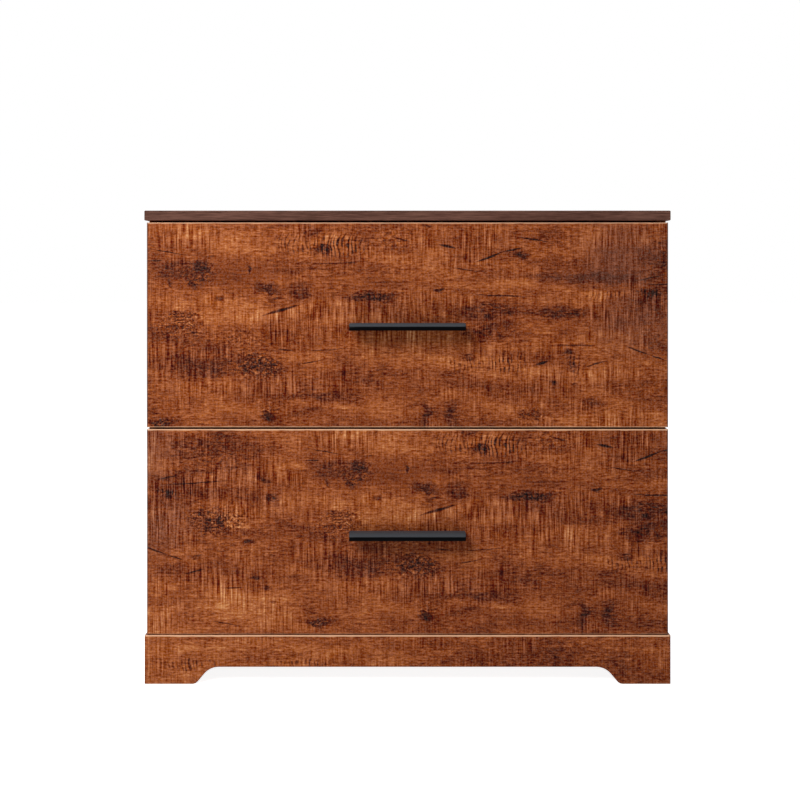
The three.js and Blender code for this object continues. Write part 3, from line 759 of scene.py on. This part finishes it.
def foil_material(name, dark, light):
    """Plain wood-grain foil: fine streaks and slow clouds between two colours."""
    material, w, coordinates, shader = new_material(name)
    face = w.placed(face_group(), {"Vector": coordinates["Object"], "Normal": coordinates["Normal"]})
    streaks = w.placed(streak_group(), {"Vector": face["Place"]})
    blend = w.layers(0.45, (streaks["Fine"], 0.25), (streaks["Broad"], 0.22))
    w.feed(shader.inputs["Base Color"], w.mix(blend, dark, light))
    dulled = w.span(blend, 0.0, 1.0, bottom=0.6, top=0.46, ease="LINEAR")
    w.feed(shader.inputs["Roughness"], dulled)
    bump(w, shader, streaks["Fine"], strength=0.3, distance=0.08 * MM)
    return material


def hardboard_material(settings):
    """Pressed fibres: fine specks over slow clouds, matt."""
    material, w, coordinates, shader = new_material("Hardboard")
    specks = w.placed(speck_group(), {"Vector": coordinates["Object"]})
    fibres = w.noise(w.millimetres(coordinates["Object"]), (0.25, 0.7, 0.5), detail=3.0)
    blend = w.layers(0.5, (specks["Specks"], 0.14), (specks["Clouds"], 0.16), (fibres, 0.16))
    w.feed(shader.inputs["Base Color"], w.mix(blend, settings.fibre_dark, settings.fibre_light))
    dulled = w.span(blend, 0.0, 1.0, bottom=0.86, top=0.7, ease="LINEAR")
    w.feed(shader.inputs["Roughness"], dulled)
    bump(w, shader, specks["Specks"], strength=0.4, distance=0.1 * MM)
    return material


def coat_material(name, base, roughness, relief, gloss=COAT_GLOSS, highlight_painted=None):
    """Coated metal or moulded plastic: one colour with specks, slow clouds of gloss and a fine relief.
    Where it looks up it may get a lighter colour, a painted highlight."""
    material, w, coordinates, shader = new_material(name)
    specks = w.placed(speck_group(), {"Vector": coordinates["Object"]})
    shade = w.layers(0.5, (specks["Specks"], 0.12), (specks["Clouds"], 0.12))
    dark = tuple(0.8 * c for c in base)
    light = tuple(1.2 * c for c in base)
    shown = w.mix(shade, dark, light)
    # Painted highlight: a lighter colour where the surface looks up
    if highlight_painted:
        upward = w.split(coordinates["Normal"])[2]
        shown = w.mix(w.span(upward, HIGHLIGHT_START, HIGHLIGHT_FULL), shown, highlight_painted)
    w.feed(shader.inputs["Base Color"], shown)
    dulled = w.layers(roughness, (specks["Clouds"], 0.05), (specks["Specks"], 0.03))
    w.feed(shader.inputs["Roughness"], dulled)
    shader.inputs["Specular IOR Level"].default_value = gloss
    bump(w, shader, specks["Specks"], strength=0.3, distance=relief)
    return material


def plated_material(name, bright, dull, roughness):
    """Plated steel: rolling streaks along the slide, clouds in the plating and a little tint."""
    material, w, coordinates, shader = new_material(name)
    x, y, z = w.split(w.millimetres(coordinates["Object"]))
    streaks = w.placed(streak_group(), {"Vector": w.combine(y, z, x)})
    specks = w.placed(speck_group(), {"Vector": coordinates["Object"]})
    blend = w.layers(0.55, (streaks["Fine"], 0.2), (specks["Clouds"], 0.2))
    tint = w.mix(w.span(specks["Clouds"], -0.8, 0.8), (0.97, 0.98, 1.0), (1.0, 0.985, 0.95))
    w.feed(shader.inputs["Base Color"], w.mix(1.0, w.mix(blend, dull, bright), tint, "MULTIPLY"))
    w.feed(shader.inputs["Roughness"], w.times_add(streaks["Fine"], 0.06, roughness, clamp=True))
    shader.inputs["Metallic"].default_value = 1.0
    bump(w, shader, streaks["Fine"], strength=0.2, distance=0.03 * MM)
    return material


def dress(material, *nodes):
    """Puts a material on CAD nodes."""
    for node in nodes:
        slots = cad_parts[node].data.materials
        slots.clear()
        slots.append(material)


# Meshes worked out on a grid


def grid_faces(rows, columns, closed=True):
    """Quads of a grid of points, row by row. A closed grid joins its last column to its first."""
    row = np.arange(rows - 1)[:, None] * columns
    column = np.arange(columns if closed else columns - 1)[None, :]
    after = (column + 1) % columns
    quads = np.stack([row + column, row + after, row + columns + after, row + columns + column], axis=-1)
    return quads.reshape(-1, 4)


def add_piece(name, points, faces, body, material):
    """A mesh piece at the origin that rides on a body, smooth except where faces meet more sharply."""
    mesh = bpy.data.meshes.new(name)
    mesh.from_pydata(points.reshape(-1, 3).tolist(), [], faces)
    mesh.validate()
    mesh.shade_smooth()
    mesh.set_sharp_from_angle(angle=SMOOTH_ANGLE)
    mesh.materials.append(material)
    piece = bpy.data.objects.new(name, mesh)
    bpy.context.scene.collection.objects.link(piece)
    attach(piece, body)
    return piece


def strip_outline(line, half, rim):
    """Closed outlines of a bent strip, one for each half wall: each side is the centreline moved half a wall
    along its normal, and the two sides draw together in a quarter round over the rim at the strip's ends."""
    ahead = np.gradient(line, axis=0)
    ahead /= np.linalg.norm(ahead, axis=1)[:, None]
    normal = np.stack([-ahead[:, 1], ahead[:, 0]], axis=1)
    travel = np.concatenate([[0], np.cumsum(np.linalg.norm(np.diff(line, axis=0), axis=1))])
    to_end = np.minimum(travel, travel[-1] - travel)
    short = np.clip(1 - to_end / rim[:, None], 0, 1)
    reach = half[:, None] - rim[:, None] * (1 - np.sqrt(1 - short**2))
    side = normal * reach[:, :, None]
    return np.concatenate([line + side, (line - side)[:, ::-1]], axis=1)


def pull_line(low, high, wall, bend):
    """Centreline of a pull's section in (y, z): up the drawer front, forwards, and down again,
    its two corners quarter circles. Its points lie closest at the two lower edges, for their rims."""
    half = wall / 2
    back, front, foot, plate = high.y - half, low.y + half, low.z, high.z - half
    radius = bend - half
    turn = np.linspace(0, math.pi / 2, 9)
    fine = 0.9 * MM
    rise = np.concatenate([np.linspace(0, fine, 7), np.linspace(fine, plate - radius - foot, 5)[1:-1]])
    up = np.stack([np.full(rise.size, back), foot + rise], axis=1)
    corner = np.stack([back - radius + radius * np.cos(turn), plate - radius + radius * np.sin(turn)], axis=1)
    flat = np.linspace(back - radius, front + radius, 8)[1:-1]
    over = np.stack([flat, np.full(flat.size, plate)], axis=1)
    other = np.stack([front + radius - radius * np.sin(turn), plate - radius + radius * np.cos(turn)], axis=1)
    down = np.stack([np.full(rise.size, front), foot + rise[::-1]], axis=1)
    return np.concatenate([up, corner, over, other, down])


def pull_mesh(low, high, settings):
    """Pull: the section's outline carried along x. At each end the outline shrinks by the ease times one
    minus a sine while x follows one minus a cosine, a quarter round."""
    line = pull_line(low, high, settings.wall, settings.bend)
    turn = np.linspace(0, math.pi / 2, 6)
    ease = settings.ease
    inset = ease * (1 - np.sin(turn))
    start = low.x + ease * (1 - np.cos(turn))
    between = np.linspace(start[-1], -start[-1], 12)[1:-1]
    stations = np.concatenate([start, between, -start[::-1]])
    shrink = np.concatenate([inset, np.zeros(between.size), inset[::-1]])
    half = settings.wall / 2 - shrink
    outline = strip_outline(line, half, np.minimum(settings.rim, half))
    x = np.broadcast_to(stations[:, None, None], (*outline.shape[:2], 1))
    points = np.concatenate([x, outline], axis=2)
    rows, columns = points.shape[:2]
    faces = grid_faces(rows, columns)
    first = np.arange(len(line) - 1)
    cap = np.stack([first, columns - 1 - first, columns - 2 - first, first + 1], axis=1)
    last = cap[:, ::-1] + (rows - 1) * columns
    return points, np.concatenate([faces, cap, last]).tolist()


def disc_grid(lines):
    """A square grid drawn onto a disc of radius 1: x times the root of 1 - y²/2, and y likewise.
    Lines beyond 1 stay on the rim, and how far beyond they are comes back as the fall."""
    a, b = np.meshgrid(lines, lines, indexing="ij")
    beyond = np.maximum(np.maximum(np.abs(a), np.abs(b)), 1)
    a, b = a / beyond, b / beyond
    return a * np.sqrt(1 - b**2 / 2), b * np.sqrt(1 - a**2 / 2), beyond - 1


def cross_head(radius, height, recess, arm, reach, crown):
    """Screw or cam head: a crowned disc with a cross sunk into it, its rim falling straight to the seat.

    Height = height - crown * r², less the recess where the nearer of |a| and |b| is inside the arm
    and the farther inside the cross's reach. The recess slopes up to the arm's and the reach's top,
    and from the bevel outwards the edge dips by a share of the height.
    """
    arm_top, reach_top, bevel, dip = arm * 1.5, reach * 1.15, 0.94, 0.12
    half = np.array([0.0, arm, arm_top, reach * 0.6, reach, reach_top, 0.82, bevel, 1.0, 1.5, 2.0])
    lines = np.concatenate([-half[:0:-1], half])
    a, b, fall = disc_grid(lines)
    near = np.minimum(np.abs(a), np.abs(b))
    far = np.maximum(np.abs(a), np.abs(b))
    across = np.clip((arm_top - near) / (arm_top - arm), 0, 1)
    sunk = across * np.clip((reach_top - far) / (reach_top - reach), 0, 1)
    edge = 1 - np.clip((np.hypot(a, b) - bevel) / (1 - bevel), 0, 1) ** 2 * dip
    z = (height - crown * (a**2 + b**2)) * edge - recess * sunk
    z = z * (1 - np.clip(fall, 0, 1))
    return np.stack([a * radius, b * radius, z], axis=-1)


def dome(radius, height):
    """Bumper: a disc whose height falls as the root of 1 - r², over a straight rim of a share of it."""
    rim = 0.35
    half = np.array([0.0, 0.25, 0.5, 0.7, 0.85, 0.95, 1.0, 1.5, 2.0])
    lines = np.concatenate([-half[:0:-1], half])
    a, b, fall = disc_grid(lines)
    rise = rim + (1 - rim) * np.sqrt(np.clip(1 - (a**2 + b**2), 0, 1))
    return np.stack([a * radius, b * radius, height * rise * (1 - np.clip(fall, 0, 1))], axis=-1)


def scatter(shape, places, facings):
    """Copies of a disc grid on upright faces. At each place the grid's first axis lies along the face, its
    second stands up and its height points along that place's facing. The ring of the rim closes each seat."""
    out = np.array(facings, float)
    up = np.broadcast_to((0.0, 0.0, 1.0), out.shape)
    axes = np.stack([np.cross(up, out), up, out], axis=1)
    points = np.array(places)[:, None, None, :] + np.einsum("ijk,nkl->nijl", shape, axes)
    size = shape.shape[0]
    index = np.arange(size * size).reshape(size, size)
    rim = np.concatenate([index[0, :-1], index[:-1, -1], index[-1, :0:-1], index[:0:-1, 0]])
    shifts = np.arange(len(places))[:, None] * size * size
    quads = (grid_faces(size, size, closed=False) + shifts[:, :, None]).reshape(-1, 4)
    seats = rim + shifts
    return points.reshape(-1, 3), quads.tolist() + seats.tolist()


# Operators


class CabinetOperator:
    """What the operators share: they can be undone, and they find the scene's settings."""

    bl_options = {"REGISTER", "UNDO"}

    def settings(self, context):
        return context.scene.cabinet


class CABINET_OT_fronts(CabinetOperator, Operator):
    """Print the two drawer fronts from one sheet, the lower one further along"""

    bl_idname = "cabinet.fronts"
    bl_label = "Drawer Fronts"

    def execute(self, context):
        settings = self.settings(context).print
        cuts = {"upper": (0, 0), "lower": LOWER_CUT}
        for level in LEVELS:
            node = f"{level}_drawer_front"
            low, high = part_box(node)
            along, up = cuts[level]
            cut = (along, up - (low.z + high.z) / 2 / MM)
            # The lower front gets painted light, lighter at its left end
            name, lines, painted_light = f"{level} front print", FRONT_LINES[level], FRONT_PAINTED_LIGHT[level]
            dress(front_material(name, node, settings, cut, lines, painted_light=painted_light), node)
        return {"FINISHED"}


class CABINET_OT_plinth(CabinetOperator, Operator):
    """Print the plinth's boards"""

    bl_idname = "cabinet.plinth"
    bl_label = "Plinth"

    def execute(self, context):
        settings = self.settings(context).print
        node = "plinth_front"
        front = front_material("Plinth print", node, settings, PLINTH_CUT, PLINTH_LINES, lift=0.05, saw=0.8)
        dress(front, node)
        sides = print_board("Plinth side print", settings, PLINTH_CUT)[0]
        dress(sides, "plinth_left", "plinth_right", "plinth_back")
        return {"FINISHED"}


class CABINET_OT_case(CabinetOperator, Operator):
    """Print the top, the sides and the inner boards of the case, and make the back board hardboard"""

    bl_idname = "cabinet.case"
    bl_label = "Case"

    def execute(self, context):
        settings = self.settings(context)
        dress(top_material(settings.print), "top_panel")
        sides = print_board("Side print", settings.print, SIDE_CUT, upright=True, saw=0.5)[0]
        dress(sides, "left_side_panel", "right_side_panel")
        rails = print_board("Rail print", settings.print, RAIL_CUT, lift=-0.03)[0]
        dress(rails, "bottom_panel", "middle_rail", "rear_top_rail")
        dress(hardboard_material(settings.box), "back_panel")
        return {"FINISHED"}


class CABINET_OT_boxes(CabinetOperator, Operator):
    """Finish the drawer boxes in dark foil and their bottoms in hardboard"""

    bl_idname = "cabinet.boxes"
    bl_label = "Drawer Boxes"

    def execute(self, context):
        settings = self.settings(context).box
        foil = foil_material("Box foil", settings.foil_dark, settings.foil_light)
        hardboard = bpy.data.materials.get("Hardboard") or hardboard_material(settings)
        boards = ("left_side", "right_side", "back", "bottom_brace")
        for level in LEVELS:
            dress(foil, *(f"{level}_drawer_{board}" for board in boards))
            dress(hardboard, f"{level}_drawer_bottom")
        return {"FINISHED"}


class CABINET_OT_slides(CabinetOperator, Operator):
    """Plate the slides, and finish their cages and release levers"""

    bl_idname = "cabinet.slides"
    bl_label = "Slides"

    def execute(self, context):
        settings = self.settings(context).metal
        zinc = plated_material("Zinc plate", settings.zinc, settings.zinc_shade, roughness=0.34)
        steel_dull = tuple(0.7 * c for c in settings.ball_steel)
        steel = plated_material("Oiled steel", settings.ball_steel, steel_dull, roughness=0.26)
        plastic = coat_material("Lever plastic", settings.plastic, roughness=0.48, relief=0.06 * MM)
        for level in LEVELS:
            for hand in HANDS:
                piece = f"{level}_{hand}_slide_"
                dress(zinc, *(piece + member for member in ("outer_member", "middle_member", "inner_member")))
                dress(steel, piece + "outer_ball_cage", piece + "inner_ball_cage")
                dress(plastic, piece + "release_lever")
        return {"FINISHED"}


class CABINET_OT_rails(CabinetOperator, Operator):
    """Coat the file rails black"""

    bl_idname = "cabinet.file_rails"
    bl_label = "File Rails"

    def execute(self, context):
        black = tuple(self.settings(context).metal.black_coat)
        coat = coat_material("Rail coat", black, roughness=0.42, relief=0.05 * MM)
        for level in LEVELS:
            dress(coat, f"{level}_drawer_front_file_rail", f"{level}_drawer_rear_file_rail")
        return {"FINISHED"}


class CABINET_OT_pulls(CabinetOperator, Operator):
    """Make the two finger pulls, with rounded bends, rims and ends"""

    bl_idname = "cabinet.pulls"
    bl_label = "Pulls"

    def execute(self, context):
        settings = self.settings(context)
        # The pulls' coat gets a painted highlight where it looks up
        coat = coat_material(
            "Pull coat", tuple(settings.metal.black_coat), roughness=0.25, relief=0.01 * MM,
            gloss=PULL_GLOSS, highlight_painted=tuple(settings.metal.highlight_painted),
        )
        for level in LEVELS:
            node = f"{level}_drawer_pull"
            points, faces = pull_mesh(*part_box(node), settings.pull)
            piece = add_piece(f"{level}_pull", points, faces, f"{level}_drawer", coat)
            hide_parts(node)
        return {"FINISHED"}


class CABINET_OT_pull_screws(CabinetOperator, Operator):
    """Make the cross-recessed heads of the screws that hold the pulls"""

    bl_idname = "cabinet.pull_screws"
    bl_label = "Pull Screws"

    def execute(self, context):
        settings = self.settings(context)
        zinc = bpy.data.materials["Zinc plate"]
        radius = settings.fitting.pull_screw
        for level in LEVELS:
            inner_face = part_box(f"{level}_drawer_front")[1].y
            for hand in HANDS:
                node = f"{level}_drawer_pull_{hand}_screw"
                low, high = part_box(node)
                middle = (low + high) / 2
                height = high.y - inner_face
                shape = cross_head(radius, height, recess=1.2 * MM, arm=0.13, reach=0.55, crown=0.7 * MM)
                points, faces = scatter(shape, [(middle.x, inner_face, middle.z)], [(0, 1, 0)])
                name = f"{level}_{hand}_pull_screw"
                piece = add_piece(name, points, faces, f"{level}_drawer", zinc)
                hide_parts(node)
        return {"FINISHED"}


class CABINET_OT_slide_screws(CabinetOperator, Operator):
    """Make the screw heads in the slides' fixing slots, on the drawer side of each slide"""

    bl_idname = "cabinet.slide_screws"
    bl_label = "Slide Screws"

    def execute(self, context):
        settings = self.settings(context).fitting
        zinc = bpy.data.materials["Zinc plate"]
        radius, height = settings.slide_screw, settings.slide_screw_height
        shape = cross_head(radius, height, recess=0.7 * MM, arm=0.14, reach=0.58, crown=0.3 * MM)
        for level in LEVELS:
            places, facings = [], []
            for hand, sign in HANDS.items():
                low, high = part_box(f"{level}_{hand}_slide_inner_member")
                face = low.x + SLIDE_WALL if sign > 0 else high.x - SLIDE_WALL
                places += [(face, low.y + slot, (low.z + high.z) / 2) for slot in SLIDE_SLOTS]
                facings += [(sign, 0, 0)] * len(SLIDE_SLOTS)
            points, faces = scatter(shape, places, facings)
            add_piece(f"{level}_slide_screws", points, faces, f"{level}_drawer", zinc)
        return {"FINISHED"}


class CABINET_OT_cams(CabinetOperator, Operator):
    """Make the cam fittings that draw each drawer side to its front, on the side's outer face"""

    bl_idname = "cabinet.cams"
    bl_label = "Cam Fittings"

    def execute(self, context):
        settings = self.settings(context).fitting
        zinc = bpy.data.materials["Zinc plate"]
        shape = cross_head(settings.cam, settings.cam_height, recess=0.6 * MM, arm=0.14, reach=0.5, crown=0.0)
        for level in LEVELS:
            places, facings = [], []
            for hand, sign in HANDS.items():
                low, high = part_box(f"{level}_drawer_{hand}_side")
                face = high.x if sign > 0 else low.x
                heights = (low.z + CAM_FROM_EDGE, high.z - CAM_FROM_EDGE)
                places += [(face, low.y + CAM_FROM_FRONT, height) for height in heights]
                facings += [(sign, 0, 0)] * len(heights)
            points, faces = scatter(shape, places, facings)
            add_piece(f"{level}_drawer_cams", points, faces, f"{level}_drawer", zinc)
        return {"FINISHED"}


class CABINET_OT_bumpers(CabinetOperator, Operator):
    """Make the rubber dots behind each drawer front, where it meets the case"""

    bl_idname = "cabinet.bumpers"
    bl_label = "Bumpers"

    def execute(self, context):
        settings = self.settings(context)
        pale = tuple(settings.metal.bumper)
        rubber = coat_material("Bumper rubber", pale, roughness=0.4, relief=0.03 * MM)
        shape = dome(settings.fitting.bumper, settings.fitting.bumper_height)
        for level in LEVELS:
            low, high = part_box(f"{level}_drawer_front")
            places = [
                (x, high.y, z)
                for x in (low.x + BUMPER_FROM_END, high.x - BUMPER_FROM_END)
                for z in (low.z + BUMPER_FROM_EDGE, high.z - BUMPER_FROM_EDGE)
            ]
            points, faces = scatter(shape, places, [(0, 1, 0)] * len(places))
            add_piece(f"{level}_bumpers", points, faces, f"{level}_drawer", rubber)
        return {"FINISHED"}


def add_lamp(name, power, size, place, aim):
    """A square area lamp at a place, turned towards a point."""
    lamp = bpy.data.lights.new(name, "AREA")
    lamp.energy = power
    lamp.shape = "SQUARE"
    lamp.size = size
    shown = bpy.data.objects.new(name, lamp)
    shown.location = place
    shown.rotation_euler = (Vector(place) - Vector(aim)).to_track_quat("Z", "Y").to_euler()
    bpy.context.scene.collection.objects.link(shown)


def background_ray(w):
    """1 for rays that show the background: from the camera, in gloss and through glass."""
    path = w.node("ShaderNodeLightPath").outputs
    seen = w.math("MAXIMUM", path["Is Camera Ray"], path["Is Glossy Ray"])
    return w.math("MAXIMUM", seen, path["Is Transmission Ray"])


def white_world(strength):
    """Even light from all round, white where it is seen."""
    world = bpy.data.worlds.new("Studio")
    world.use_nodes = True
    w = Wiring(world.node_tree)
    world.node_tree.nodes.clear()
    lit = w.span(background_ray(w), 0.0, 1.0, bottom=strength, top=1.0, ease="LINEAR")
    shader = w.node("ShaderNodeBackground", {"Color": (1, 1, 1), "Strength": lit})
    w.node("ShaderNodeOutputWorld", {0: shader.outputs[0]})
    bpy.context.scene.world = world


def floor_material(settings):
    """Pale diffuse floor that glows a little where it is seen, so that it is white outside the shadow.
    It is clear from below, so that the cabinet's underside can be looked at."""
    material = bpy.data.materials.new("Floor")
    material.use_nodes = True
    material.node_tree.nodes.clear()
    w = Wiring(material.node_tree)
    pale = w.node("ShaderNodeBsdfDiffuse", {"Color": settings.floor})
    strength = w.times(background_ray(w), settings.floor_glow)
    glow = w.node("ShaderNodeEmission", {"Color": (1, 1, 1), "Strength": strength})
    both = w.node("ShaderNodeAddShader", {0: pale.outputs[0], 1: glow.outputs[0]})
    clear = w.node("ShaderNodeBsdfTransparent", {"Color": (1, 1, 1)})
    below = w.node("ShaderNodeNewGeometry").outputs["Backfacing"]
    either = w.node("ShaderNodeMixShader", {0: below, 1: both.outputs[0], 2: clear.outputs[0]})
    w.node("ShaderNodeOutputMaterial", {0: either.outputs[0]})
    return material


class CABINET_OT_stage(CabinetOperator, Operator):
    """Set up the camera, the white floor and the lamps"""

    bl_idname = "cabinet.stage"
    bl_label = "Stage"

    def execute(self, context):
        settings = self.settings(context).stage
        scene = context.scene
        scene.view_settings.view_transform = "Standard"
        white_world(settings.world)
        half = settings.floor_size / 2
        mesh = bpy.data.meshes.new("floor")
        low = -settings.floor_gap
        corners = np.array(((-half, -half, low), (half, -half, low), (half, half, low), (-half, half, low)))
        mesh.from_pydata(corners.tolist(), [], [(0, 1, 2, 3)])
        mesh.materials.append(floor_material(settings))
        floor = bpy.data.objects.new("floor", mesh)
        scene.collection.objects.link(floor)

        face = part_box("plinth_front")[0].y
        camera = bpy.data.cameras.new("camera")
        camera.sensor_width = SENSOR_WIDTH
        camera.lens = camera.sensor_width * settings.camera_distance / settings.view_width
        camera.shift_x = -settings.view_side / settings.view_width
        camera.shift_y = (settings.view_middle - settings.camera_height) / settings.view_width
        shown = bpy.data.objects.new("camera", camera)
        shown.location = (0, face - settings.camera_distance, settings.camera_height)
        shown.rotation_euler = (math.pi / 2, 0, 0)
        scene.collection.objects.link(shown)
        scene.camera = shown

        for name, (size, place) in LAMPS.items():
            add_lamp(name, getattr(settings, name), size, place, LAMP_AIM)
        return {"FINISHED"}


OPERATORS = (
    CABINET_OT_fronts, CABINET_OT_plinth, CABINET_OT_case, CABINET_OT_boxes, CABINET_OT_slides,
    CABINET_OT_rails, CABINET_OT_pulls, CABINET_OT_pull_screws, CABINET_OT_slide_screws, CABINET_OT_cams,
    CABINET_OT_bumpers, CABINET_OT_stage,
)


class CABINET_PT_sidebar(Panel):
    """Lists the steps that dress the cabinet and their settings"""

    bl_label = "Filing Cabinet"
    bl_idname = "CABINET_PT_sidebar"
    bl_space_type = "VIEW_3D"
    bl_region_type = "UI"
    bl_category = "Cabinet"

    def draw(self, context):
        for operator in OPERATORS:
            self.layout.operator(operator.bl_idname)
        for group in CabinetSettings.__annotations__:
            settings = getattr(context.scene.cabinet, group)
            box = self.layout.box()
            for name in settings.__annotations__:
                box.prop(settings, name)


CLASSES = (
    PrintSettings, BoxSettings, MetalSettings, PullSettings, FittingSettings, StageSettings, CabinetSettings,
    *OPERATORS, CABINET_PT_sidebar,
)


def register():
    for each in CLASSES:
        bpy.utils.register_class(each)
    Scene.cabinet = PointerProperty(type=CabinetSettings)


def unregister():
    del Scene.cabinet
    for each in reversed(CLASSES):
        bpy.utils.unregister_class(each)


def main():
    register()
    for operator in OPERATORS:
        family, name = operator.bl_idname.split(".")
        getattr(getattr(bpy.ops, family), name)()


if __name__ == "__main__":
    main()
